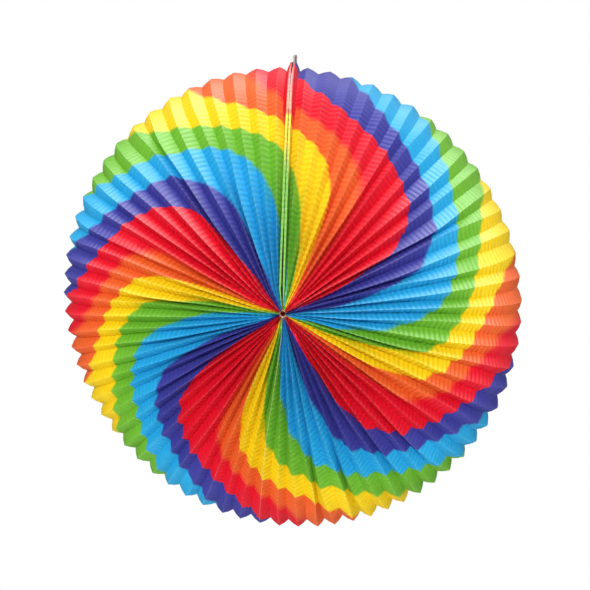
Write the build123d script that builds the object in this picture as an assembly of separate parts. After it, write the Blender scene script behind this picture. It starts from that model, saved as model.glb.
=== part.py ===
from build123d import *
import math
import os

# Round paper lantern. Two pleated, cross-crimped paper sheets are fanned right round a level
# axis and gathered by a thread at both poles. The free ends of the fan are glued to board
# cards that stand side by side at the top, and one card carries the tab for hanging.
# X runs to the right, Y from the front pole to the rear pole, and Z up. The origin is the
# centre of the tab's hole. Lengths are millimetres and angles are degrees.

# Body: a flattened ball, measured over the outer folds
body_radius = 125.0
half_depth = 65.0
apex_slope = 10.0
rim_slope = 28.0
hub_radius = 2.0
out_of_round = 0.017
long_way_angle = 129.0

# Pleats
pleat_count = 69
rim_fold_depth = 3.5
crimped_paper = 0.6
thickest_fold = 1.2
upright_radius = 40.0
lap_pleat = 34
flank_spans = 3
rim_spans = 4

# Uneven fanning: swings that go once, twice and three times round, each from its own start
once_swing = 5.7
once_start = 23.5
twice_swing = 1.0
twice_start = 74.0
thrice_swing = 1.0
thrice_start = 252.0

# End cards and the tab on the right one
board = 0.8
slit = 0.8
card_width = 9.0
card_rise = 2.2
card_end_radius = 14.0
release_step = 1.0
tab_length = 16.0
tab_rise = 4.5
tab_corner = 1.5
hang_hole_radius = 1.2
hang_hole_drop = 3.0

# Staple in the tab and threads at the hubs
staple_wire = 0.5
staple_length = 8.0
staple_clinch = 3.0
staple_drop = 1.0
thread_radius = 0.3
thread_runs = 24
thread_edge = 0.1
thread_clearance = 0.05

# Places worked out from the sizes above, seen from the middle of the lantern
left_valley = 1
right_valley = 2 * pleat_count + 1
right_apex = right_valley + 1
lap_fold = 2 * lap_pleat
right_card_face = board / 2
left_card_face = right_card_face + slit + board
release_radius = card_end_radius - release_step


def sine(angle):
    return math.sin(math.radians(angle))


def cosine(angle):
    return math.cos(math.radians(angle))


def oval_arcs(radius, depth):
    # Radii of the wide flank arc and the small rim arc, which meet at the rim slope.
    flank_reach = sine(rim_slope) - sine(apex_slope)
    flank_drop = cosine(apex_slope) - cosine(rim_slope)
    rim_reach = 1 - sine(rim_slope)
    rim_drop = cosine(rim_slope)
    scale = flank_reach * rim_drop - rim_reach * flank_drop
    flank_arc = (radius * rim_drop - rim_reach * depth) / scale
    rim_arc = (flank_reach * depth - flank_drop * radius) / scale
    return flank_arc, rim_arc


def oval_point(slope, radius, depth):
    # Distance from the axis and height above the middle plane, where the oval has this slope.
    flank_arc, rim_arc = oval_arcs(radius, depth)
    if slope > rim_slope:
        return radius - rim_arc * (1 - sine(slope)), rim_arc * cosine(slope)
    reach = flank_arc * (sine(slope) - sine(apex_slope))
    return reach, depth - flank_arc * (cosine(apex_slope) - cosine(slope))


def slope_at(reach, radius, depth):
    # Slope of the flank arc at this distance from the axis.
    return math.degrees(math.asin(sine(apex_slope) + reach / oval_arcs(radius, depth)[0]))


def stations():
    # Where the fold lines bend, from the front hub over the rim to the rear hub. Each station
    # has its distance from the axis, its place along Y, the lean of a pleat and its side.
    hub = slope_at(hub_radius, body_radius, half_depth)
    card_end = slope_at(card_end_radius, body_radius, half_depth)
    flank = [card_end + (rim_slope - card_end) * i / flank_spans for i in range(flank_spans)]
    rim = [rim_slope + (90 - rim_slope) * i / rim_spans for i in range(rim_spans)]
    front = []
    for slope in [hub] + flank + rim:
        reach, height = oval_point(slope, body_radius, half_depth)
        lean = slope * min(1.0, reach / upright_radius)
        front.append((reach, -height, lean, -1))
    rear = [(reach, -place, lean, 1) for reach, place, lean, side in reversed(front)]
    return front + [(body_radius, 0.0, 90.0, 1)] + rear


def roundness(angle):
    return 1 + out_of_round * cosine(2 * (angle - long_way_angle))


def fan_turn(share):
    # Turn from the seam to the fold that lies this share of the way round the fan.
    even = 360 * share
    once = once_swing * (sine(even + once_start) - sine(once_start))
    twice = twice_swing * (sine(2 * even + twice_start) - sine(twice_start))
    thrice = thrice_swing * (sine(3 * even + thrice_start) - sine(thrice_start))
    return even + once + twice + thrice


def fan_stretch(share):
    # How much wider than the average a pleat is spread here.
    even = 360 * share
    once = math.radians(once_swing) * cosine(even + once_start)
    twice = 2 * math.radians(twice_swing) * cosine(2 * even + twice_start)
    thrice = 3 * math.radians(thrice_swing) * cosine(3 * even + thrice_start)
    return 1 + once + twice + thrice


def seam_turn(offset, reach):
    # Turn from the seam to a face that stands this far beside it. Inside the cards' ends the
    # paper runs straight to the hub.
    return math.degrees(math.asin(offset / max(reach, release_radius)))


def fold_point(fold, station, layer, inner):
    # A corner of the sheet on one fold line, on its outer or inner face. Even folds stand out
    # and odd ones lie in, and layer counts inwards where the two sheets lap.
    reach, place, lean, side = station
    share = (fold - left_valley) / (right_valley - left_valley)
    even_pitch = math.radians(180 / pleat_count)
    panel_width = math.hypot(rim_fold_depth, body_radius * even_pitch)
    pitch = reach * even_pitch * fan_stretch(min(max(share, 0), 1))
    inward = min(crimped_paper * panel_width / pitch, thickest_fold)
    paper = inward * pitch / panel_width
    at_apex = fold < left_valley or fold > right_valley
    depth = layer * inward
    if at_apex:
        depth -= card_rise * reach / body_radius
    elif inner:
        depth += inward
    if fold % 2:
        depth += math.sqrt(panel_width ** 2 - pitch ** 2)
    outward = reach - depth * sine(lean)
    cover = 0 if inner else paper
    if share <= 0:
        outward *= roundness(90)
        angle = 90 + seam_turn(left_card_face + cover, outward)
    elif share >= 1:
        outward *= roundness(90)
        angle = 90 - seam_turn(right_card_face + cover, outward)
    else:
        start = seam_turn(left_card_face, outward)
        end = seam_turn(right_card_face, outward)
        angle = 90 + start + fan_turn(share) * (360 - start - end) / 360
        outward *= roundness(angle)
    along = place - side * depth * cosine(lean)
    return Vector(outward * cosine(angle), along, outward * sine(angle))


def facets(a, b, c, d, split_at_a):
    # Two flat triangles between four corners.
    if split_at_a:
        halves = [(a, b, c), (a, c, d)]
    else:
        halves = [(b, c, d), (b, d, a)]
    return [Face(Wire.make_polygon(corners, close=True)) for corners in halves]


def pleated_sheet(first_fold, last_fold, layer_at):
    # One closed sheet: panels between its folds on both faces, the raw ends at the hubs and
    # the raw edges along its first and last fold.
    path = stations()
    folds = range(first_fold, last_fold + 1)
    spans = range(len(path) - 1)
    corner = {
        (fold, i, inner): fold_point(fold, path[i], layer_at(fold), inner)
        for fold in folds
        for i in range(len(path))
        for inner in (False, True)
    }
    faces = []
    for fold in folds[:-1]:
        for i in spans:
            toward_rim = (fold % 2 == 0) == (i < len(path) // 2)
            for inner in (False, True):
                a = corner[fold, i, inner]
                b = corner[fold + 1, i, inner]
                c = corner[fold + 1, i + 1, inner]
                d = corner[fold, i + 1, inner]
                faces += facets(a, b, c, d, toward_rim)
        for i in (0, len(path) - 1):
            a = corner[fold, i, False]
            b = corner[fold + 1, i, False]
            c = corner[fold + 1, i, True]
            d = corner[fold, i, True]
            faces += facets(a, b, c, d, True)
    for fold in (first_fold, last_fold):
        for i in spans:
            a = corner[fold, i, False]
            b = corner[fold, i + 1, False]
            c = corner[fold, i + 1, True]
            d = corner[fold, i, True]
            faces += facets(a, b, c, d, True)
    return Solid(Shell(faces))


def pleated_sheet_left():
    # Ends one valley past the lap, under the right sheet.
    return pleated_sheet(0, lap_fold + 1, lambda fold: 1 if fold > lap_fold else 0)


def pleated_sheet_right():
    # Its glued end lies over the left sheet's last panel.
    return pleated_sheet(lap_fold, right_apex, lambda fold: -1 if fold == lap_fold else 0)


def oval_edge(radius, depth):
    # The upper half of an oval as three arcs, from the front card end to the rear one.
    end = slope_at(card_end_radius, radius, depth)
    slopes = [end, (end + rim_slope) / 2, rim_slope]
    front = [(-height, reach) for reach, height in (oval_point(s, radius, depth) for s in slopes)]
    rear = [(-y, z) for y, z in reversed(front)]
    return [
        ThreePointArc(*front),
        ThreePointArc(front[-1], (0, radius), rear[0]),
        ThreePointArc(*rear),
    ]


def end_card():
    # A bowed strip of board between two ovals, flat on the YZ plane.
    rim = body_radius * roundness(90) + card_rise
    outer = oval_edge(rim, half_depth)
    inner = oval_edge(rim - card_width, half_depth - card_width)
    ends = [
        Line(outer[0] @ 0, inner[0] @ 0),
        Line(outer[-1] @ 1, inner[-1] @ 1),
    ]
    outline = Wire(outer + inner + ends)
    return extrude(Plane.YZ * make_face(outline), board / 2, both=True)


def tab_top():
    return body_radius * roundness(90) + card_rise + tab_rise


def hole_height():
    return tab_top() - hang_hole_drop


def staple():
    # Flat wire: the crown on the tab's left face, a leg through each slot, and both ends
    # clinched on the right face.
    height = tab_top() - staple_drop
    leg_place = (staple_length - staple_wire) / 2
    crown = Pos(-(board + staple_wire) / 2, 0, height) * Box(staple_wire, staple_length, staple_wire)
    wire = crown
    for side in (-1, 1):
        leg = Pos(0, side * leg_place, height) * Box(board, staple_wire, staple_wire)
        clinch_place = side * (staple_length - staple_clinch) / 2
        end = Box(staple_wire, staple_clinch, staple_wire)
        wire = wire + leg + Pos((board + staple_wire) / 2, clinch_place, height) * end
    return wire


def end_card_left():
    return Pos(-(board + slit), 0, 0) * end_card()


def end_card_right():
    # The tab is a rounded plate that grows out of the card's crest, with the hole for hanging.
    crest = tab_top() - tab_rise
    plate_height = tab_rise + card_width / 2
    plate = Rectangle(tab_length, plate_height)
    plate = fillet(plate.vertices().group_by(Axis.Y)[-1], tab_corner)
    plate = Pos(0, tab_top() - plate_height / 2) * plate
    hole = Pos(0, hole_height()) * Circle(hang_hole_radius)
    tab = extrude(Plane.YZ * (plate - hole), board / 2, both=True)
    return end_card() + tab - staple()


def hub_thread(side):
    # A tight ring of thread inside the gathered ends, at the mouth of the hub. It runs
    # straight from pleat to pleat, so it is many-sided.
    height = oval_point(slope_at(hub_radius, body_radius, half_depth), body_radius, half_depth)[1]
    outside = hub_radius * (1 - out_of_round) - thread_clearance
    inside = outside - 2 * thread_radius
    ring = RegularPolygon(outside, thread_runs) - RegularPolygon(inside, thread_runs)
    ring = chamfer(extrude(ring, thread_radius, both=True).edges().group_by(Axis.Z)[-1], thread_edge)
    return Pos(0, side * (height - thread_radius), 0) * Rot(90, 0, 0) * ring


def build():
    return {
        "pleated_sheet_left": pleated_sheet_left(),
        "pleated_sheet_right": pleated_sheet_right(),
        "end_card_left": end_card_left(),
        "end_card_right": end_card_right(),
        "tab_staple": staple(),
        "hub_thread_front": hub_thread(-1),
        "hub_thread_rear": hub_thread(1),
    }


os.makedirs("parts", exist_ok=True)
for name, solid in build().items():
    export_step(Pos(0, 0, -hole_height()) * solid, f"parts/{name}.step")
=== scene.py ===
import logging
import math
import random
from dataclasses import dataclass, field
from enum import Enum

import bpy
import numpy as np
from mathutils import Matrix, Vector


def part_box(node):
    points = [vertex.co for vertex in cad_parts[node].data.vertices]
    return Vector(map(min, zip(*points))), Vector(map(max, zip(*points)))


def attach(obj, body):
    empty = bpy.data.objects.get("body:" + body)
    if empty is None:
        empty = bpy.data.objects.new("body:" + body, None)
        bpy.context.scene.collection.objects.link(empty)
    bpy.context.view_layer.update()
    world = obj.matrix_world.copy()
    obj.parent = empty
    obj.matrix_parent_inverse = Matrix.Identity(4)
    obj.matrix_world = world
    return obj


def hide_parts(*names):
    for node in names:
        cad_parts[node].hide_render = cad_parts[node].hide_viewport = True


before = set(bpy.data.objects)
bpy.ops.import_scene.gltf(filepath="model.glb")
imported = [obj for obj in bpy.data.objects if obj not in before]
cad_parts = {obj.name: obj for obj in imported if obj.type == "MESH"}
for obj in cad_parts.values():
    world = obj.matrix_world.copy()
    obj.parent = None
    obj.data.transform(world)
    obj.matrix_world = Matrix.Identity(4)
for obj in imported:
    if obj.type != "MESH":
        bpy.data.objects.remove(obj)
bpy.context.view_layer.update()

MM = 0.001
CRIMP_SEED = 7
FOLD_SEED = 100
BOW_SEED = 900
NEAR_PI = 3.14
log = logging.getLogger("paper_lantern")

Ink = tuple[int, int, int]
Span = tuple[float, float]
Run = tuple[Span, ...]
Line = tuple[np.ndarray, np.ndarray]
Socket = bpy.types.NodeSocket


class Hand(Enum):
    """The two paper sheets, named for the side they cover as seen from the front."""

    LEFT = "left"
    RIGHT = "right"


class PaperFace(Enum):
    """Material slots of a paper sheet."""

    PRINTED = 0
    BACK = 1
    RAW_EDGE = 2


def sine(angle: float) -> float:
    """Return the sine of an angle in degrees."""
    return math.sin(math.radians(angle))


def cosine(angle: float) -> float:
    """Return the cosine of an angle in degrees."""
    return math.cos(math.radians(angle))


def linear(red: int, green: int, blue: int) -> tuple[float, float, float, float]:
    """Turn a screen colour into the linear colour that shaders use.

    Args:
        red: Red from 0 to 255.
        green: Green from 0 to 255.
        blue: Blue from 0 to 255.

    Returns:
        The linear red, green and blue, and full opacity.
    """
    shares = [channel / 255 for channel in (red, green, blue)]
    values = [s / 12.92 if s <= 0.04045 else ((s + 0.055) / 1.055) ** 2.4 for s in shares]
    return values[0], values[1], values[2], 1.0


def deselect_all() -> None:
    """Deselect every object, so that an operator acts on new pieces alone."""
    bpy.ops.object.select_all(action="DESELECT")


@dataclass(frozen=True)
class ShaderGraph:
    """The nodes and links of a shader, with short ways to add the nodes used here."""

    nodes: bpy.types.Nodes
    links: bpy.types.NodeLinks

    def map_range(self, value: Socket, source: Span, target: Span) -> Socket:
        """Add a node that maps one range of values onto another.

        Args:
            value: The socket to read.
            source: The lowest and highest values read.
            target: The values that they become.

        Returns:
            The mapped value's socket.
        """
        node = self.nodes.new("ShaderNodeMapRange")
        self.links.new(value, node.inputs["Value"])
        node.inputs["From Min"].default_value, node.inputs["From Max"].default_value = source
        node.inputs["To Min"].default_value, node.inputs["To Max"].default_value = target
        return node.outputs["Result"]

    def math(self, operation: str, *values: Socket | float) -> Socket:
        """Add a math node.

        Args:
            operation: What it works out.
            values: Sockets or plain numbers, one for each input.

        Returns:
            The result's socket.
        """
        node = self.nodes.new("ShaderNodeMath")
        node.operation = operation
        for value, socket in zip(values, node.inputs):
            if isinstance(value, Socket):
                self.links.new(value, socket)
            else:
                socket.default_value = value
        return node.outputs["Value"]

    def uv_map(self, name: str) -> tuple[Socket, Socket]:
        """Return the sockets of a UV map's two values."""
        node = self.nodes.new("ShaderNodeUVMap")
        node.uv_map = name
        split = self.nodes.new("ShaderNodeSeparateXYZ")
        self.links.new(node.outputs["UV"], split.inputs["Vector"])
        return split.outputs["X"], split.outputs["Y"]

    def noise(self, scale: float, detail: float) -> Socket:
        """Add noise on Object coordinates, and return its value's socket."""
        found = self.nodes.get("Texture Coordinate")
        coordinates = found or self.nodes.new("ShaderNodeTexCoord")
        node = self.nodes.new("ShaderNodeTexNoise")
        node.inputs["Scale"].default_value = scale
        node.inputs["Detail"].default_value = detail
        self.links.new(coordinates.outputs["Object"], node.inputs["Vector"])
        return node.outputs["Fac"]

    def add_bump(self, height: Socket, strength: float) -> None:
        """Roughen the surface by a tenth of a millimetre where the height is great."""
        bump = self.nodes.new("ShaderNodeBump")
        bump.inputs["Strength"].default_value = strength
        bump.inputs["Distance"].default_value = 0.1 * MM
        self.links.new(height, bump.inputs["Height"])
        self.links.new(bump.outputs["Normal"], self.nodes["Principled BSDF"].inputs["Normal"])

    def let_light_through(self, colour: Socket, share: float) -> None:
        """Let a share of the light pass through a thin paper face.

        Args:
            colour: The colour socket of the light that passes.
            share: The share of light that passes.
        """
        through = self.nodes.new("ShaderNodeBsdfTranslucent")
        self.links.new(colour, through.inputs["Color"])
        mix = self.nodes.new("ShaderNodeMixShader")
        mix.inputs["Fac"].default_value = share
        self.links.new(self.nodes["Principled BSDF"].outputs["BSDF"], mix.inputs[1])
        self.links.new(through.outputs["BSDF"], mix.inputs[2])
        self.links.new(mix.outputs["Shader"], self.nodes["Material Output"].inputs["Surface"])


def new_material(name: str) -> tuple[bpy.types.Material, ShaderGraph]:
    """Add a material with shader nodes, and return it with its graph."""
    material = bpy.data.materials.new(name)
    material.use_nodes = True
    return material, ShaderGraph(material.node_tree.nodes, material.node_tree.links)


@dataclass(frozen=True)
class LanternForm:
    """Sizes of the pleated ball, in millimetres and degrees, measured from its middle."""

    body_radius: float = 125.0
    half_depth: float = 65.0
    apex_slope: float = 10.0
    rim_slope: float = 28.0
    hub_radius: float = 1.5
    out_of_round: float = 0.017
    long_way_angle: float = 129.0
    pleat_count: int = 69
    rim_fold_depth: float = 3.5
    upright_radius: float = 40.0
    lap_pleat: int = 34
    swings: Run = ((5.7, 23.5), (1.0, 74.0), (1.0, 252.0))
    board: float = 0.8
    slit: float = 0.8
    card_rise: float = 2.2
    card_end_radius: float = 14.0
    release_step: float = 1.0

    @property
    def right_valley(self) -> int:
        """Fold beside the right card."""
        return 2 * self.pleat_count + 1

    @property
    def right_apex(self) -> int:
        """Fold at the right card's edge."""
        return self.right_valley + 1

    @property
    def lap_fold(self) -> int:
        """Fold where the right sheet's glued end stops."""
        return 2 * self.lap_pleat

    @property
    def right_card_face(self) -> float:
        """Distance of the right card's outer face from the middle plane."""
        return self.board / 2

    @property
    def left_card_face(self) -> float:
        """Distance of the left card's outer face from the middle plane."""
        return self.right_card_face + self.slit + self.board

    @property
    def even_pitch(self) -> float:
        """Turn from fold to fold in radians, if all were spread evenly."""
        return math.radians(180 / self.pleat_count)

    @property
    def panel_width(self) -> float:
        """Width of the paper from fold to fold."""
        return math.hypot(self.rim_fold_depth, self.body_radius * self.even_pitch)

    def roundness(self, angle: np.ndarray | float) -> np.ndarray | float:
        """Return how far the ball is out of round at an angle from the right."""
        return 1 + self.out_of_round * np.cos(np.radians(2 * (angle - self.long_way_angle)))

    def oval_arcs(self, radius: float) -> Span:
        """Return the radii of the flank arc and the rim arc of an oval this large."""
        flank_reach = sine(self.rim_slope) - sine(self.apex_slope)
        flank_drop = cosine(self.apex_slope) - cosine(self.rim_slope)
        rim_reach = 1 - sine(self.rim_slope)
        rim_drop = cosine(self.rim_slope)
        scale = flank_reach * rim_drop - rim_reach * flank_drop
        flank = (radius * rim_drop - rim_reach * self.half_depth) / scale
        rim = (flank_reach * self.half_depth - flank_drop * radius) / scale
        return flank, rim

    def oval_point(self, slope: np.ndarray, radius: float) -> Line:
        """Return the distance from the axis and the height where an oval has these slopes."""
        flank, rim = self.oval_arcs(radius)
        radians = np.radians(slope)
        on_rim = slope > self.rim_slope
        flank_reach = flank * (np.sin(radians) - sine(self.apex_slope))
        flank_height = self.half_depth - flank * (cosine(self.apex_slope) - np.cos(radians))
        reach = np.where(on_rim, radius - rim * (1 - np.sin(radians)), flank_reach)
        height = np.where(on_rim, rim * np.cos(radians), flank_height)
        return reach, height

    def hub_slope(self, flank: float) -> float:
        """Return the slope at the hub in radians, on a flank arc with this radius."""
        return math.asin(sine(self.apex_slope) + self.hub_radius / flank)

    def arc_lengths(self) -> Span:
        """Return the lengths of the flank and of the rim, from a hub to the middle plane."""
        flank, rim = self.oval_arcs(self.body_radius)
        flank_length = flank * (math.radians(self.rim_slope) - self.hub_slope(flank))
        return flank_length, rim * math.radians(90 - self.rim_slope)

    def slope_along(self, distance: np.ndarray) -> np.ndarray:
        """Return the slope at distances along the paper from a hub."""
        flank, rim = self.oval_arcs(self.body_radius)
        flank_length, _ = self.arc_lengths()
        on_flank = np.degrees(self.hub_slope(flank) + distance / flank)
        on_rim = self.rim_slope + np.degrees((distance - flank_length) / rim)
        return np.where(distance < flank_length, on_flank, on_rim)

    def fan_turn(self, share: float) -> float:
        """Return the turn from the seam of a fold this share of the way round the fan."""
        turn = 360 * share
        for times, (swing, start) in enumerate(self.swings, 1):
            turn += swing * (sine(times * 360 * share + start) - sine(start))
        return turn

    def fan_stretch(self, share: float) -> float:
        """Return how much wider than the average a pleat is spread here."""
        stretch = 1.0
        for times, (swing, start) in enumerate(self.swings, 1):
            stretch += times * math.radians(swing) * cosine(times * 360 * share + start)
        return stretch

    def seam_turn(self, offset: float | np.ndarray, reach: np.ndarray) -> np.ndarray:
        """Return the turn from the seam to a face this far beside it."""
        release = self.card_end_radius - self.release_step
        return np.degrees(np.arcsin(offset / np.maximum(reach, release)))


@dataclass(frozen=True)
class Crimp:
    """The fine cross crimp pressed into the paper, in millimetres.

    Attributes:
        count: Crimps from hub to rim.
        inner_count: Crimps on the inner part, where they are further apart.
        inner_part: How far the inner part reaches, as a share of the way to the rim.
        rows_each: Rows of points on each crimp.
        height: Height over the even paper.
        lowers_over: Where on the way to the rim the crimp gets lower.
        rim_height: Share of the height that is left at the rim.
        uneven: How much the height differs from crimp to crimp.
        growth: Most height for each millimetre from the hub, where the pleats are narrow.
        fold_share: Share of the height that is left along the folds.
        steep_share: Share of the height that is left on panels that stand on edge.
    """

    count: int = 52
    inner_count: float = 29.4
    inner_part: float = 0.6
    rows_each: int = 3
    height: float = 0.7
    lowers_over: Span = (0.6, 0.85)
    rim_height: float = 0.8
    uneven: float = 0.2
    growth: float = 0.019
    fold_share: float = 0.5
    steep_share: float = 0.45

    def place(self, number: np.ndarray) -> np.ndarray:
        """Return where crimps lie on the way to the rim, counted from the hub."""
        counts = (0, self.inner_count, self.count)
        return np.interp(number, counts, (0, self.inner_part, 1))

    def wave(self, rows: np.ndarray, along: np.ndarray, distance: np.ndarray) -> np.ndarray:
        """Work out the crimp's height at each row of points.

        Args:
            rows: The rows' numbers, with 0 at the rim.
            along: Their places from hub to rim, from 0 to 1.
            distance: Their distances along the paper from the hub.

        Returns:
            Heights, from half the height below the paper to the full height above.
        """
        wave = np.cos(math.tau * rows / self.rows_each)
        dice = random.Random(CRIMP_SEED)
        uneven = [dice.uniform(-1, 1) for _ in range(2 * self.count + 2)]
        each = (rows - rows[0]) // self.rows_each
        size = 1 + self.uneven * np.array([uneven[i] for i in each])
        height = np.interp(along, self.lowers_over, (self.height, self.height * self.rim_height))
        return wave * size * np.minimum(height, self.growth * distance)


@dataclass(frozen=True)
class Pinch:
    """A place where neighbouring pleats are pressed together into a dark groove.

    Attributes:
        angle: Place round the lantern, in degrees from the right.
        start: Where it begins, as a share of the way from hub to rim.
        end: Where it ends.
        strength: How far the folds move together, as a share of their spacing.
        edge: How softly it begins and ends.
        spread: How far round it fades, in squared spacings.
        reach: How many spacings away it still acts.
    """

    angle: float
    start: float
    end: float
    strength: float
    edge: float = 0.035
    spread: float = 2.2
    reach: float = 3.5

    def shift(self, angle: float, spacing: float, along: np.ndarray) -> np.ndarray:
        """Work out how far the pinch draws a fold sideways.

        Args:
            angle: The fold's angle.
            spacing: The angle from fold to fold there.
            along: Places on the fold from hub to rim, from 0 to 1.

        Returns:
            The shift at each place, in degrees.
        """
        away = ((angle - self.angle + 180) % 360 - 180) / spacing
        if abs(away) > self.reach:
            return np.zeros(len(along))
        rise = 1 / (1 + np.exp(-(along - self.start) / self.edge))
        fall = 1 / (1 + np.exp((along - self.end) / self.edge))
        pull = -self.strength * away * math.exp(-away * away / self.spread)
        return rise * fall * pull * spacing


@dataclass(frozen=True)
class Swirl:
    """The printed rainbow: six bands, four times round, that sweep from hub to rim.

    Attributes:
        repeats: How many times the six bands come round.
        sweep: How far the bands turn from hub to rim, as a share of the whole round.
        straight_share: Share of the sweep that is spread evenly.
        bend_at: Where the rest of the sweep lies, on the way from hub to rim.
        bend_width: How sharply it bends there.
        hub_bands: Widths of the bands at the hub, as shares of a repeat.
        rim_bands: The same at the rim.
        panel_run: Print on the end panels, as places from hub to rim and in the repeat.
        strip_run: Print on the strips that are turned over the cards' edges.
        left_rim: Place in the repeat at the left sheet's glued end on the rim.
        right_rim: The same at the right sheet's end.
        slips: How far the print has slipped, in repeats, at shares of the way round.
    """

    repeats: int = 4
    sweep: float = 0.1726
    straight_share: float = 0.38
    bend_at: float = 0.7085
    bend_width: float = 0.0655
    hub_bands: tuple[float, ...] = (0.158, 0.257, 0.088, 0.074, 0.052, 0.371)
    rim_bands: tuple[float, ...] = (0.157, 0.163, 0.206, 0.207, 0.17, 0.097)
    panel_run: Run = ((0, 0.45), (0.5, 0.515), (0.67, 0.68), (0.71, 0.84))
    strip_run: Run = ((0, 0.45), (0.58, 0.516), (0.7, 0.687), (0.79, 0.85))
    left_rim: float = 0.98
    right_rim: float = 1.03
    slips: Run = (
        (0.0, 0.0),
        (0.66, -0.012),
        (0.74, -0.042),
        (0.88, -0.046),
        (0.96, 0.015),
        (1.0, 0.035),
    )

    def shift(self, along: np.ndarray) -> np.ndarray:
        """Return how far the bands have turned, in shares of the whole round."""
        bend = 1 / (1 + np.exp(-(along - self.bend_at) / self.bend_width))
        full = 1 / (1 + math.exp(-(1 - self.bend_at) / self.bend_width))
        turned = self.straight_share * along + (1 - self.straight_share) * bend / full
        return self.sweep * (1 - turned)

    def band_place(self, share: float, along: np.ndarray) -> np.ndarray:
        """Return the place in the run of colours, where each repeat counts one.

        Args:
            share: Place round the fan, from the seam over the left side.
            along: Place from hub to rim, from 0 to 1.

        Returns:
            The unbroken place, with each band taking up a sixth of a repeat.
        """
        places, sizes = zip(*self.slips)
        slip = np.interp(share, places, sizes)
        return self.even_bands((1 - share - self.shift(along)) * self.repeats + slip, along)

    def end_place(self, run: Run, hand: Hand, along: np.ndarray) -> np.ndarray:
        """Return the place in the run of colours on a sheet's glued end.

        Args:
            run: Places from hub to rim, each with its place in the run of colours.
            hand: The sheet.
            along: Place from hub to rim, from 0 to 1.

        Returns:
            The place with even bands.
        """
        rim = self.left_rim if hand is Hand.LEFT else self.right_rim
        places, values = zip(*run, (1, rim))
        return self.even_bands(np.interp(along, places, values), along)

    def even_bands(self, place: np.ndarray, along: np.ndarray) -> np.ndarray:
        """Stretch the bands until each takes up a sixth of its repeat.

        Args:
            place: Place in the run of colours, in repeats, with the real band widths.
            along: Place from hub to rim, from 0 to 1.

        Returns:
            The place with even bands.
        """
        whole = np.floor(place)
        part = place - whole
        hub = np.cumsum((0.0,) + self.hub_bands)
        rim = np.cumsum((0.0,) + self.rim_bands)
        count = len(self.hub_bands)
        result = np.zeros_like(part)
        for row, (value, blend) in enumerate(zip(part, along)):
            edges = hub + (rim - hub) * blend
            result[row] = np.interp(value, edges, np.arange(count + 1) / count)
        return whole + result


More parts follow.
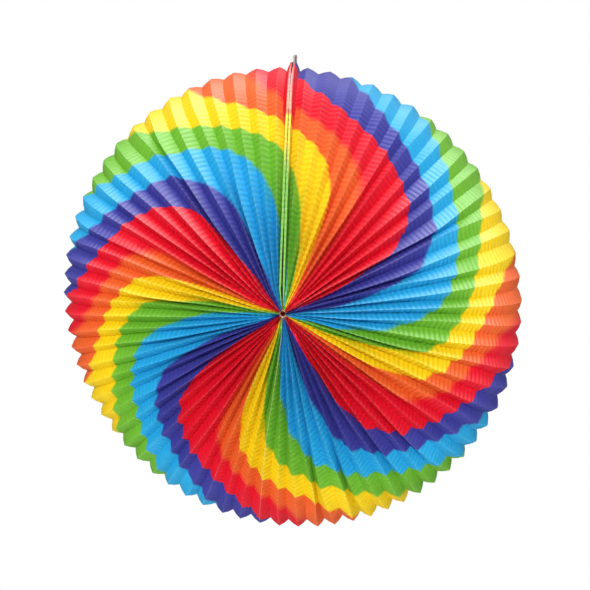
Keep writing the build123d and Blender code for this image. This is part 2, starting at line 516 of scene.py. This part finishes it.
@dataclass(frozen=True)
class PrintedPaper:
    """Thin printed paper with strong inks, a soft sheen and worn folds, with painted shade and
    highlight striped along the crimps and painted shade on the glued strips near the hub.
    """

    purple: Ink = (61, 61, 156)
    light_blue: Ink = (34, 170, 222)
    green: Ink = (114, 184, 46)
    yellow: Ink = (243, 210, 8)
    orange: Ink = (233, 101, 38)
    red: Ink = (225, 4, 40)
    bare: Ink = (246, 236, 214)
    edge_softness: float = 0.006
    orange_fade: float = 0.12
    red_fade: float = 0.06
    bleed_scale: float = 350
    bleed: float = 0.006
    fibre_scale: float = 420
    fibre_detail: float = 5
    fibre_range: Span = (0.3, 0.7)
    mottle: Span = (0.95, 1.04)
    # Painted shade and highlight: the ink darkens in each crimp trough and lightens on each crest,
    # less towards the rim.
    painted_crimp_shade_level: float = 1.01
    painted_crimp_shade: float = 0.09
    painted_crimp_shade_over: Span = (0.55, 0.9)
    painted_crimp_shade_fade: Span = (1.0, 0.45)
    # Painted shade: how dark the glued strips near the hub are painted, from full painted shade to
    # none.
    painted_strip_shade: Span = (0.72, 1.0)
    crest_width: float = 0.09
    worn_odds: Span = (0.45, 0.9)
    wear_over: Span = (12.0, 85.0)
    inner_wear: float = 0.3
    rim_wear: float = 0.06
    hub_wear: float = 0.3
    hub_wear_over: Span = (0.1, 0.5)
    fibre_bump: float = 0.25
    roughness: float = 0.62
    gloss: float = 0.45
    thinness: float = 0.24

    def make(self) -> bpy.types.Material:
        """Build the material.

        Returns:
            A material that reads the sheet's maps of print, folds and strip.
        """
        material, graph = new_material("printed_paper")
        place, along = graph.uv_map("print")
        strip, crimp_number = graph.uv_map("strip")
        fibre = graph.noise(self.fibre_scale, self.fibre_detail)
        shade = graph.nodes.new("ShaderNodeHueSaturation")
        graph.links.new(self.printed_colour(graph, place), shade.inputs["Color"])
        tone = self.tone(graph, along, strip, crimp_number, fibre)
        graph.links.new(tone, shade.inputs["Value"])
        mix = graph.nodes.new("ShaderNodeMix")
        mix.data_type = "RGBA"
        mix.inputs["B"].default_value = linear(*self.bare)
        graph.links.new(shade.outputs["Color"], mix.inputs["A"])
        graph.links.new(self.bare_share(graph, fibre, strip), mix.inputs["Factor"])
        shader = graph.nodes["Principled BSDF"]
        graph.links.new(mix.outputs["Result"], shader.inputs["Base Color"])
        graph.add_bump(fibre, self.fibre_bump)
        shader.inputs["Roughness"].default_value = self.roughness
        shader.inputs["Specular IOR Level"].default_value = self.gloss
        graph.let_light_through(mix.outputs["Result"], self.thinness)
        return material

    def printed_colour(self, graph: ShaderGraph, place: Socket) -> Socket:
        """Return the socket of the ink at a place in the run of colours."""
        bleed = graph.noise(self.bleed_scale, 2)
        wandered = graph.math("MULTIPLY_ADD", bleed, self.bleed, place)
        ramp = graph.nodes.new("ShaderNodeValToRGB")
        graph.links.new(graph.math("FRACT", wandered), ramp.inputs["Fac"])
        self.fill_ramp(ramp.color_ramp)
        return ramp.outputs["Color"]

    def fill_ramp(self, ramp: bpy.types.ColorRamp) -> None:
        """Set the six inks, each a sixth of the ramp, with orange fading into red."""
        inks = (self.purple, self.light_blue, self.green, self.yellow, self.orange, self.red)
        width = 1 / len(inks)
        stops = []
        for index, ink in enumerate(inks):
            start = index * width + self.edge_softness
            end = (index + 1) * width - self.edge_softness
            if ink == self.orange:
                end -= width * self.orange_fade
            if ink == self.red:
                start += width * self.red_fade
            stops += [(start, ink), (end, ink)]
        ramp.interpolation = "LINEAR"
        while len(ramp.elements) < len(stops):
            ramp.elements.new(1.0)
        for element, (place, ink) in zip(ramp.elements, stops):
            element.position = place
            element.color = linear(*ink)

    def tone(
        self, graph: ShaderGraph, along: Socket, strip: Socket, crimp_number: Socket, fibre: Socket
    ) -> Socket:
        """Return a socket with the brightness of the ink, with painted shade in the crimp troughs,
        painted highlight on the crimp crests and painted shade on the strips near the hub.

        Args:
            graph: The material's graph.
            along: Place from hub to rim.
            strip: Below 0 where the strips near the hub get painted shade, above 0 where they are
                bare.
            crimp_number: Crimps from the hub, whole on each crest.
            fibre: The paper's fibre noise.

        Returns:
            The brightness, near 1.
        """
        mottle = graph.map_range(fibre, self.fibre_range, self.mottle)
        # Painted shade and highlight along the crimps: darker ink in the troughs and lighter ink on
        # the crests, less towards the rim.
        wave = graph.math("COSINE", graph.math("MULTIPLY", crimp_number, math.tau))
        fade = graph.map_range(along, self.painted_crimp_shade_over, self.painted_crimp_shade_fade)
        faded = graph.math("MULTIPLY", wave, fade)
        pressed = graph.math("MULTIPLY_ADD", faded, self.painted_crimp_shade, self.painted_crimp_shade_level)
        # Painted shade on the strips near the hub, where the strip map is below 0.
        strip_painted_dark = graph.map_range(strip, (-1, 0), self.painted_strip_shade)
        return graph.math("MULTIPLY", mottle, graph.math("MULTIPLY", pressed, strip_painted_dark))

    def bare_share(self, graph: ShaderGraph, fibre: Socket, strip: Socket) -> Socket:
        """Return a socket that is high on worn outer folds, at the hub and on bare strips.

        Args:
            graph: The material's graph.
            fibre: The paper's fibre noise.
            strip: How bare the glued strips are.

        Returns:
            The share of bare paper, from 0 to 1.
        """
        fold, distance = graph.uv_map("folds")
        from_crest = graph.math("PINGPONG", fold, 1.0)
        crest = graph.map_range(from_crest, (0.0, self.crest_width), (1.0, 0.0))
        pleat = graph.math("SNAP", graph.math("ADD", fold, 1.0), 2.0)
        luck = graph.nodes.new("ShaderNodeTexWhiteNoise")
        luck.noise_dimensions = "1D"
        graph.links.new(pleat, luck.inputs["W"])
        chance = graph.map_range(luck.outputs["Value"], self.worn_odds, (0.15, 1.0))
        wear = graph.map_range(distance, self.wear_over, (self.inner_wear, self.rim_wear))
        amount = graph.math("MULTIPLY", crest, graph.math("MULTIPLY", chance, wear))
        patchy = graph.map_range(fibre, (0.35, 0.6), (0.4, 1.2))
        worn = graph.math("MULTIPLY", amount, patchy)
        hub = graph.map_range(distance, self.hub_wear_over, (self.hub_wear, 0.0))
        rubbed = graph.map_range(fibre, self.fibre_range, (0.75, 1.15))
        faded = graph.math("MULTIPLY", strip, rubbed)
        return graph.math("MAXIMUM", graph.math("MAXIMUM", worn, hub), faded)


@dataclass(frozen=True)
class PlainFinish:
    """A plain finish with fine grain, for paper backs, raw edges, board, thread and wire."""

    name: str
    colour: Ink
    grain_colour: Ink
    grain_scale: float
    roughness: float
    bump: float
    metallic: float = 0.0
    thinness: float = 0.0

    def make(self) -> bpy.types.Material:
        """Build the material.

        Returns:
            A material that reads Object coordinates.
        """
        material, graph = new_material(self.name)
        shader = graph.nodes["Principled BSDF"]
        grain = graph.noise(self.grain_scale, 4)
        ramp = graph.nodes.new("ShaderNodeValToRGB")
        stops = ((0.35, self.grain_colour), (0.65, self.colour))
        for element, (place, colour) in zip(ramp.color_ramp.elements, stops):
            element.position = place
            element.color = linear(*colour)
        graph.links.new(grain, ramp.inputs["Fac"])
        graph.links.new(ramp.outputs["Color"], shader.inputs["Base Color"])
        graph.add_bump(grain, self.bump)
        shader.inputs["Roughness"].default_value = self.roughness
        shader.inputs["Metallic"].default_value = self.metallic
        if self.thinness:
            graph.let_light_through(ramp.outputs["Color"], self.thinness)
        return material


PAPER_BACK = PlainFinish("paper_back", (238, 226, 214), (222, 204, 196), 300, 0.8, 0.2, 0.0, 0.5)
RAW_PAPER = PlainFinish("raw_paper", (206, 184, 160), (176, 152, 128), 900, 0.85, 0.1)
GREY_BOARD = PlainFinish("grey_board", (150, 140, 136), (118, 104, 104), 500, 0.85, 0.4)
THREAD = PlainFinish("thread", (206, 140, 92), (150, 82, 46), 1500, 0.8, 0.5)
STAPLE_WIRE = PlainFinish("staple_wire", (92, 72, 74), (58, 40, 42), 400, 0.4, 0.1, 0.8)
PALE_FLOOR = PlainFinish("pale_floor", (250, 250, 250), (248, 248, 248), 3, 0.9, 0.0)


@dataclass
class PleatedSheet:
    """One printed sheet: folded into pleats, crimped across and gathered at both hubs."""

    hand: Hand
    form: LanternForm
    crimp: Crimp
    swirl: Swirl
    pinches: tuple[Pinch, ...]
    middle: Vector
    paper: float = 0.12
    glue_line: float = 0.03
    hem: float = 4.0
    slit_open_from: float = 140.0
    slit_open_below: float = 28.0
    slit_taper: float = 18.0
    fold_jitter: float = 0.16
    hub_jitter: float = 0.5
    ridge_jitter: float = 0.35
    hub_ridge_jitter: float = 1.9
    hub_reach: float = 22.0
    sway_waves: Span = (0.6, 3.2)
    lift_waves: Span = (0.8, 5.0)
    valley_stray: float = 0.4
    apex_drop: float = 0.6
    seam_stray: float = 0.15
    press_slope: float = 2.8
    press_over: Span = (8.0, 75.0)
    bow: float = 0.25
    bow_range: Span = (-0.4, 1.0)
    panel_lift: float = 2.0
    lean_from: float = 0.6
    lean_run: float = 0.15
    least_lean: float = 0.15
    strip_bare: float = 0.5
    # Places from hub to rim where the strips go from painted shade to bare wear.
    strip_shade_and_wear_at: tuple[float, ...] = (0.68, 0.72, 0.86, 0.93)
    rows: np.ndarray = field(init=False)
    crimp_number: np.ndarray = field(init=False)
    along: np.ndarray = field(init=False)
    distance: np.ndarray = field(init=False)
    slopes: np.ndarray = field(init=False)

    def __post_init__(self) -> None:
        """Work out the rows of the crimped paper, from the front hub to the rear one."""
        half = self.crimp.count * self.crimp.rows_each
        self.rows = np.arange(-half, half + 1)
        self.crimp_number = self.crimp.count * (1 - np.abs(self.rows) / half)
        self.along = self.crimp.place(self.crimp_number)
        self.distance = self.along * sum(self.form.arc_lengths())
        self.slopes = self.form.slope_along(self.distance)

    @property
    def folds(self) -> range:
        """Folds of this sheet, counted from the left card round to the right card."""
        if self.hand is Hand.LEFT:
            return range(0, self.form.lap_fold + 2)
        return range(self.form.lap_fold, self.form.right_apex + 1)

    @property
    def skin(self) -> float:
        """Thickness of one layer of paper with its glue."""
        return self.paper + self.glue_line

    def share(self, fold: float) -> float:
        """Return how far round the fan a fold lies, from 0 to 1."""
        return (fold - 1) / (self.form.right_valley - 1)

    def stray(self, dice: random.Random, waves: Span) -> np.ndarray:
        """Return three random waves along a fold, added together."""
        drawn = [(dice.uniform(*waves), dice.uniform(0, 2 * NEAR_PI)) for _ in range(3)]
        side = self.rows / self.rows[-1]
        return sum(np.sin(f * side * NEAR_PI + p) for f, p in drawn) / 2

    def fold_noise(self, fold: int) -> Line:
        """Return how a fold strays sideways and outwards along its length.

        Args:
            fold: The fold's number.

        Returns:
            Sideways stray in shares of the spacing, and outward stray in millimetres.
        """
        dice = random.Random(FOLD_SEED + fold)
        sway = self.stray(dice, self.sway_waves)
        lift = self.stray(dice, self.lift_waves)
        near_hub = np.exp(-self.distance / self.hub_reach)
        middle = np.sin(np.clip(self.along, 0, 1) * math.pi) ** 0.7
        sideways = sway * (self.fold_jitter * (0.35 + middle) + self.hub_jitter * near_hub)
        outward = lift * (self.ridge_jitter * (0.3 + middle) + self.hub_ridge_jitter * near_hub)
        return sideways, outward

    def pleat_depth(self, base_reach: np.ndarray, pitch: np.ndarray) -> np.ndarray:
        """Work out how deep an inner fold lies under its neighbours.

        Args:
            base_reach: Distances from the axis.
            pitch: Distances to the next fold.

        Returns:
            The depth, which the crowd of pleats near the hub keeps low.
        """
        full = np.sqrt(np.maximum(self.form.panel_width ** 2 - pitch ** 2, 1.0))
        pressed = np.minimum(full, self.press_slope * pitch + 0.3)
        start, end = self.press_over
        return pressed + (full - pressed) * np.clip((base_reach - start) / (end - start), 0, 1)

    def card_angle(self, fold: int, out: np.ndarray) -> np.ndarray:
        """Work out the angle of a fold that stands at its card.

        Args:
            fold: The fold's number, up to 1 at the left card or high at the right one.
            out: Its distances from the axis.

        Returns:
            The angle at each row, in degrees.
        """
        form = self.form
        lift = 0.0
        if fold in (1, form.right_valley):
            leaning = (self.along - self.lean_from) / self.lean_run
            lift = self.panel_lift * np.clip(leaning, self.least_lean, 1)
        if fold <= 1:
            return 90 + form.seam_turn(form.left_card_face + self.skin + lift, out)
        return 90 - form.seam_turn(form.right_card_face + self.skin + lift, out)

    def fan_angle(self, share: float, out: np.ndarray, sideways: np.ndarray) -> np.ndarray:
        """Work out the angle of a fold between the two cards.

        Args:
            share: How far round the fan it lies.
            out: Its distances from the axis.
            sideways: Its sideways stray.

        Returns:
            The angle at each row, in degrees.
        """
        form = self.form
        start = form.seam_turn(form.left_card_face + self.skin, out)
        end = form.seam_turn(form.right_card_face + self.skin, out)
        turn = form.fan_turn(share)
        spacing = 180 / form.pleat_count * form.fan_stretch(share)
        angle = 90 + start + turn * (360 - start - end) / 360
        calm = min(1.0, 6 * min(share, 1 - share) + self.seam_stray)
        pinched = sum(pinch.shift(90 + turn, spacing, self.along) for pinch in self.pinches)
        return angle + sideways * spacing * calm + np.where(self.rows <= 0, pinched, 0)

    def fold_line(self, fold: int) -> Line:
        """Work out one fold line and the direction that its pleat stands in.

        Args:
            fold: The fold's number, even for an outer fold and odd for an inner one.

        Returns:
            Points and unit directions, one for each row.
        """
        form = self.form
        share = self.share(fold)
        in_fan = 0 < share < 1
        inner = fold % 2 == 1
        at_apex = fold < 1 or fold > form.right_valley
        radius = form.body_radius
        if at_apex:
            radius += form.card_rise / form.roundness(90)
        reach, height = form.oval_point(self.slopes, radius)
        base_reach, _ = form.oval_point(self.slopes, form.body_radius)
        lean = np.radians(self.slopes * np.minimum(1.0, base_reach / form.upright_radius))
        sideways, outward = self.fold_noise(fold)
        depth = np.zeros(len(self.rows))
        if inner:
            stretch = form.fan_stretch(min(max(share, 0.0), 1.0))
            depth += self.pleat_depth(base_reach, base_reach * form.even_pitch * stretch)
        if in_fan:
            depth -= outward * (self.valley_stray if inner else 1.0)
        depth += self.layer(fold) * self.skin
        if at_apex:
            depth = depth - self.skin - self.crimp.height * self.apex_drop
        out = reach - depth * np.sin(lean)
        if in_fan:
            angle = self.fan_angle(share, out, sideways)
            out = out * form.roundness(90 + form.fan_turn(share))
        else:
            out = out * form.roundness(90)
            angle = self.card_angle(fold, out)
        radians = np.radians(angle)
        side = np.where(self.rows <= 0, -1.0, 1.0)
        place = side * (height - depth * np.cos(lean))
        points = np.stack([out * np.cos(radians), place, out * np.sin(radians)], axis=1)
        across = np.sin(lean)
        stand = [across * np.cos(radians), side * np.cos(lean), across * np.sin(radians)]
        return points, np.stack(stand, axis=1)

    def layer(self, fold: int) -> int:
        """Return which layer a fold lies in where the two sheets lap, counted inwards."""
        if self.hand is Hand.LEFT:
            return 1 if fold > self.form.lap_fold else 0
        return -1 if fold == self.form.lap_fold else 0

    def hem_lines(self) -> list[Line]:
        """Return the lines where the paper turns over the board's edge and down its back."""
        form = self.form
        apex = 0 if self.hand is Hand.LEFT else form.right_apex
        toward = 1 if self.hand is Hand.LEFT else -1
        points, stand = self.fold_line(apex)
        closed = np.clip((self.slit_open_from - self.distance) / self.slit_taper, 0, 1)
        closed *= np.clip((self.distance - self.slit_open_below) / self.slit_taper, 0, 1)
        width = form.board + self.paper + closed * (form.slit / 2 - self.paper)
        over = points.copy()
        over[:, 0] += toward * width * np.minimum(1, self.distance / form.card_end_radius)
        level = stand * np.array([0, 1, 1])
        level /= np.linalg.norm(level, axis=1)[:, None]
        reach = np.clip(self.distance / form.card_end_radius - 0.1, 0.05, 1)[:, None]
        down = over - level * self.hem * reach
        down[:, 0] -= toward * closed * (form.slit / 2 - self.paper)
        return [(down, stand), (over, stand)]

    def lines(self) -> Line:
        """Work out every line of points along the sheet.

        Returns:
            Points by column and row, and each column's fold number.
        """
        wave = self.crimp.wave(self.rows, self.along, self.distance)[:, None]
        fold_wave = wave * self.crimp.fold_share
        found = [self.fold_line(fold) for fold in self.folds]
        columns: list[np.ndarray] = []
        numbers: list[float] = []
        for index, fold in enumerate(self.folds):
            points, stand = found[index]
            columns.append(points + stand * fold_wave)
            numbers.append(float(fold))
            if index + 1 < len(found):
                columns.append(self.panel_middle(fold, found[index], found[index + 1], wave))
                numbers.append(fold + 0.5)
        (inner, _), (over, stand) = self.hem_lines()
        hem = [inner, over + stand * fold_wave]
        if self.hand is Hand.LEFT:
            columns = hem + columns
            numbers = [-2.0, -1.0] + numbers
        else:
            columns = columns + hem[::-1]
            numbers = numbers + [self.form.right_apex + 1.0, self.form.right_apex + 2.0]
        return np.stack(columns), np.array(numbers)

    def panel_middle(self, fold: int, before: Line, after: Line, wave: np.ndarray) -> np.ndarray:
        """Work out the line along the middle of a panel, with its crimp and its bow.

        Args:
            fold: The number of the fold before the panel.
            before: That fold's points and directions.
            after: The next fold's points and directions.
            wave: The crimp's height at each row.

        Returns:
            Points, one for each row.
        """
        middle = (before[0] + after[0]) / 2
        normal = np.cross(after[0] - before[0], np.gradient(middle, axis=0))
        normal /= np.linalg.norm(normal, axis=1)[:, None] + 1e-9
        outward = np.einsum("ij,ij->i", normal, before[1] + after[1])
        normal *= np.where(outward < 0, -1, 1)[:, None]
        dice = random.Random(BOW_SEED + fold)
        swell = np.sin(self.along * math.pi)[:, None]
        bow = dice.uniform(*self.bow_range) * self.bow * swell
        facing = np.abs(np.einsum("ij,ij->i", normal, before[1]))[:, None]
        steep = self.crimp.steep_share
        return middle + normal * (wave * (steep + (1 - steep) * facing) + bow)

    def build(self, finishes: list[bpy.types.Material]) -> bpy.types.Object:
        """Fold a flat grid into the sheet and give the paper its thickness.

        Args:
            finishes: Materials for the printed face, the back and the raw edge.

        Returns:
            The finished sheet.
        """
        columns, numbers = self.lines()
        wide = len(columns)
        high = len(self.rows)
        deselect_all()
        bpy.ops.mesh.primitive_grid_add(x_subdivisions=wide - 1, y_subdivisions=high - 1, size=1)
        piece = bpy.context.object
        piece.name = f"paper_sheet_{self.hand.value}"
        mesh = piece.data
        if len(mesh.vertices) != wide * high:
            raise ValueError(f"grid has {len(mesh.vertices)} points, not {wide * high}")
        flat = np.zeros(len(mesh.vertices) * 3)
        mesh.vertices.foreach_get("co", flat)
        flat = flat.reshape(-1, 3)
        column = np.rint((flat[:, 0] + 0.5) * (wide - 1)).astype(int)
        row = np.rint((flat[:, 1] + 0.5) * (high - 1)).astype(int)
        folded = columns[column, row] * MM + np.array(self.middle)
        mesh.vertices.foreach_set("co", folded.ravel())
        self.map_print(mesh, column, row, numbers)
        self.crease(mesh, column, numbers)
        for finish in finishes:
            mesh.materials.append(finish)
        mesh.update()
        bpy.ops.object.mode_set(mode="EDIT")
        bpy.ops.mesh.select_all(action="SELECT")
        if self.faces_inwards(mesh):
            bpy.ops.mesh.flip_normals()
        bpy.ops.object.mode_set(mode="OBJECT")
        wall = piece.modifiers.new("paper", "SOLIDIFY")
        wall.thickness = self.paper * MM
        wall.offset = -1
        wall.material_offset = PaperFace.BACK.value
        wall.material_offset_rim = PaperFace.RAW_EDGE.value
        bpy.ops.object.modifier_apply(modifier=wall.name)
        return piece

    def faces_inwards(self, mesh: bpy.types.Mesh) -> bool:
        """Tell whether the sheet faces the lantern's middle."""
        total = 0.0
        for index in range(0, len(mesh.polygons), 97):
            face = mesh.polygons[index]
            total += face.normal.dot(face.center - self.middle)
        return total < 0

    def map_print(
        self, mesh: bpy.types.Mesh, column: np.ndarray, row: np.ndarray, numbers: np.ndarray
    ) -> None:
        """Give the sheet its maps of the print, of the folds and of the glued strip, whose map also
        holds the painted shade on the strips near the hub.

        Args:
            mesh: The sheet's mesh.
            column: Each point's column.
            row: Each point's row.
            numbers: Each column's fold number.
        """
        form = self.form
        swirl = self.swirl
        colours = np.stack([swirl.band_place(self.share(number), self.along) for number in numbers])
        panel_colours = swirl.end_place(swirl.panel_run, self.hand, self.along)
        strip_colours = swirl.end_place(swirl.strip_run, self.hand, self.along)
        corner = np.zeros(len(mesh.loops), dtype=int)
        mesh.loops.foreach_get("vertex_index", corner)
        number = numbers[column][corner]
        along = self.along[row][corner]
        face_number = np.repeat(number.reshape(-1, 4).mean(axis=1), 4)
        panel = (face_number < 1) | (face_number > form.right_valley)
        strip = (face_number < 0) | (face_number > form.right_apex)
        colour = np.where(panel, panel_colours[row][corner], colours[column, row][corner])
        colour = np.where(strip, strip_colours[row][corner], colour)
        hem = (number < 0) | (number > form.right_apex)
        # Up to 0.68 of the way to the rim the strips get painted shade (-1); further out they are
        # bare.
        wear = (-1, self.strip_bare, self.strip_bare, 0.2 * self.strip_bare)
        bare = hem * np.interp(along, self.strip_shade_and_wear_at, wear)
        mesh.uv_layers[0].name = "print"
        maps = {
            "print": (colour, along),
            "folds": (number, self.distance[row][corner]),
            "strip": (bare, self.crimp_number[row][corner]),
        }
        for name, values in maps.items():
            layer = mesh.uv_layers.get(name) or mesh.uv_layers.new(name=name)
            layer.data.foreach_set("uv", np.stack(values, axis=1).astype(np.float32).ravel())

    def crease(self, mesh: bpy.types.Mesh, column: np.ndarray, numbers: np.ndarray) -> None:
        """Mark the fold lines sharp and smooth the rest."""
        mesh.polygons.foreach_set("use_smooth", [True] * len(mesh.polygons))
        ends = np.zeros(len(mesh.edges) * 2, dtype=int)
        mesh.edges.foreach_get("vertices", ends)
        ends = ends.reshape(-1, 2)
        same = column[ends[:, 0]] == column[ends[:, 1]]
        sharp = same & (numbers % 1 == 0)[column[ends[:, 0]]]
        mesh.edges.foreach_set("use_edge_sharp", sharp)


@dataclass(frozen=True)
class Softbox:
    """A square soft light aimed at the lantern."""

    name: str
    place: tuple[float, float, float]
    size: float
    power: float
    gloss_only: bool = False


@dataclass
class Studio:
    """Camera, soft light and pale floor at the photograph's viewing angle."""

    middle: Vector
    distance: float = 1.3
    azimuth: float = 4.05
    elevation: float = 7.0
    roll: float = 0.8
    frame_pixels: float = 590.0
    pixels_per_metre: float = 1836.0
    middle_pixel: Span = (291.8, 298.8)
    sensor_width: float = 36.0
    floor_drop: float = 0.75
    floor_radius: float = 1.6
    front_light: float = 0.36
    surround_span: Span = (-0.3, 0.35)
    softboxes: tuple[Softbox, ...] = (
        Softbox("top", (0.07, -0.5, 1.4), 0.8, 10),
        Softbox("front", (-0.1, -2.0, 0.7), 0.7, 50),
        Softbox("sheen", (0.28, -0.25, 1.4), 0.9, 95, gloss_only=True),
    )

    def back(self) -> Vector:
        """Return the direction from the lantern to the camera."""
        level = cosine(self.elevation)
        return Vector(
            (sine(self.azimuth) * level, -cosine(self.azimuth) * level, sine(self.elevation))
        )

    def add_camera(self) -> None:
        """Add the camera, with the lantern's middle at its place in the photograph."""
        data = bpy.data.cameras.new("camera")
        camera = bpy.data.objects.new("camera", data)
        bpy.context.scene.collection.objects.link(camera)
        bpy.context.scene.camera = camera
        camera.location = self.middle + self.back() * self.distance
        turn = (-self.back()).to_track_quat("-Z", "Y")
        camera.rotation_euler = turn.to_euler()
        camera.rotation_euler.rotate_axis("Z", math.radians(self.roll))
        data.sensor_width = self.sensor_width
        data.lens = data.sensor_width * self.pixels_per_metre * self.distance / self.frame_pixels
        half = self.frame_pixels / 2
        data.shift_x = (half - self.middle_pixel[0]) / self.frame_pixels
        data.shift_y = (self.middle_pixel[1] - half) / self.frame_pixels
        data.clip_start = 0.05
        data.clip_end = 50

    def add_softbox(self, softbox: Softbox) -> None:
        """Add one of the lights."""
        data = bpy.data.lights.new(softbox.name, "AREA")
        data.size = softbox.size
        data.energy = softbox.power
        light = bpy.data.objects.new(softbox.name, data)
        bpy.context.scene.collection.objects.link(light)
        light.location = self.middle + Vector(softbox.place)
        light.rotation_euler = (-Vector(softbox.place)).to_track_quat("-Z", "Y").to_euler()
        light.visible_diffuse = not softbox.gloss_only

    def add_floor(self) -> None:
        """Add a wide pale floor well below the hanging lantern."""
        deselect_all()
        place = self.middle - Vector((0, 0, self.floor_drop))
        bpy.ops.mesh.primitive_circle_add(
            vertices=96, radius=self.floor_radius, fill_type="NGON", location=place
        )
        floor = bpy.context.object
        floor.name = "floor"
        floor.data.materials.append(PALE_FLOOR.make())

    def add_surround(self) -> None:
        """Add a white surround that is dimmer on the camera's side."""
        world = bpy.data.worlds.new("studio")
        world.use_nodes = True
        graph = ShaderGraph(world.node_tree.nodes, world.node_tree.links)
        coordinates = graph.nodes.new("ShaderNodeTexCoord")
        split = graph.nodes.new("ShaderNodeSeparateXYZ")
        graph.links.new(coordinates.outputs["Generated"], split.inputs["Vector"])
        light = graph.map_range(split.outputs["Y"], self.surround_span, (self.front_light, 1.0))
        background = graph.nodes["Background"]
        graph.links.new(light, background.inputs["Strength"])
        background.inputs["Color"].default_value = (1, 1, 1, 1)
        bpy.context.scene.world = world

    def build(self) -> None:
        """Add everything around the lantern."""
        self.add_camera()
        for softbox in self.softboxes:
            self.add_softbox(softbox)
        self.add_surround()
        bpy.context.scene.view_settings.view_transform = "Standard"
        self.add_floor()


def dress(node: str, finish: PlainFinish) -> None:
    """Give a carried-over node its finish.

    Args:
        node: The node's name.
        finish: Its finish.
    """
    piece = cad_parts[node]
    piece.data.materials.clear()
    piece.data.materials.append(finish.make())
    log.info("%s dressed as %s", node, finish.name)


def lantern_middle(form: LanternForm) -> Vector:
    """Find the lantern's middle from the frame.

    Args:
        form: The lantern's sizes.

    Returns:
        The middle of the pleated ball, in metres.
    """
    low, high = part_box("end_card_left")
    crest = (form.body_radius * form.roundness(90) + form.card_rise) * MM
    return Vector((0, (low.y + high.y) / 2, high.z - crest))


PINCHES = (
    Pinch(112.8, 0.1, 0.5, 0.8),
    Pinch(129.7, 0.3, 0.82, 1.05),
    Pinch(176.4, 0.32, 0.6, 0.8),
    Pinch(195.2, 0.2, 0.55, 0.5),
    Pinch(204.6, 0.2, 0.55, 0.65),
    Pinch(279.3, 0.55, 0.8, 0.7),
    Pinch(288.5, 0.55, 0.85, 0.7),
    Pinch(302.1, 0.5, 0.75, 0.7),
    Pinch(311.3, 0.5, 0.75, 0.5),
    Pinch(320.9, 0.3, 0.55, 0.65),
    Pinch(341.5, 0.15, 0.5, 0.65),
    Pinch(15.8, 0.2, 0.5, 0.45),
    Pinch(27.5, 0.22, 0.7, 0.65),
    Pinch(56.2, 0.3, 0.8, 0.4),
)


def main() -> None:
    """Build the lantern's visible pieces and the studio around them."""
    logging.basicConfig(level=logging.INFO, format="%(message)s")
    form = LanternForm()
    middle = lantern_middle(form)
    paper = [PrintedPaper().make(), PAPER_BACK.make(), RAW_PAPER.make()]
    for hand in Hand:
        sheet = PleatedSheet(hand, form, Crimp(), Swirl(), PINCHES, middle)
        piece = sheet.build(paper)
        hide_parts(f"pleated_sheet_{hand.value}")
        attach(piece, "root")
        log.info("%s has %d faces", piece.name, len(piece.data.polygons))
    dress("end_card_left", GREY_BOARD)
    dress("end_card_right", GREY_BOARD)
    dress("hub_thread_front", THREAD)
    dress("hub_thread_rear", THREAD)
    dress("tab_staple", STAPLE_WIRE)
    Studio(middle).build()


if __name__ == "__main__":
    main()
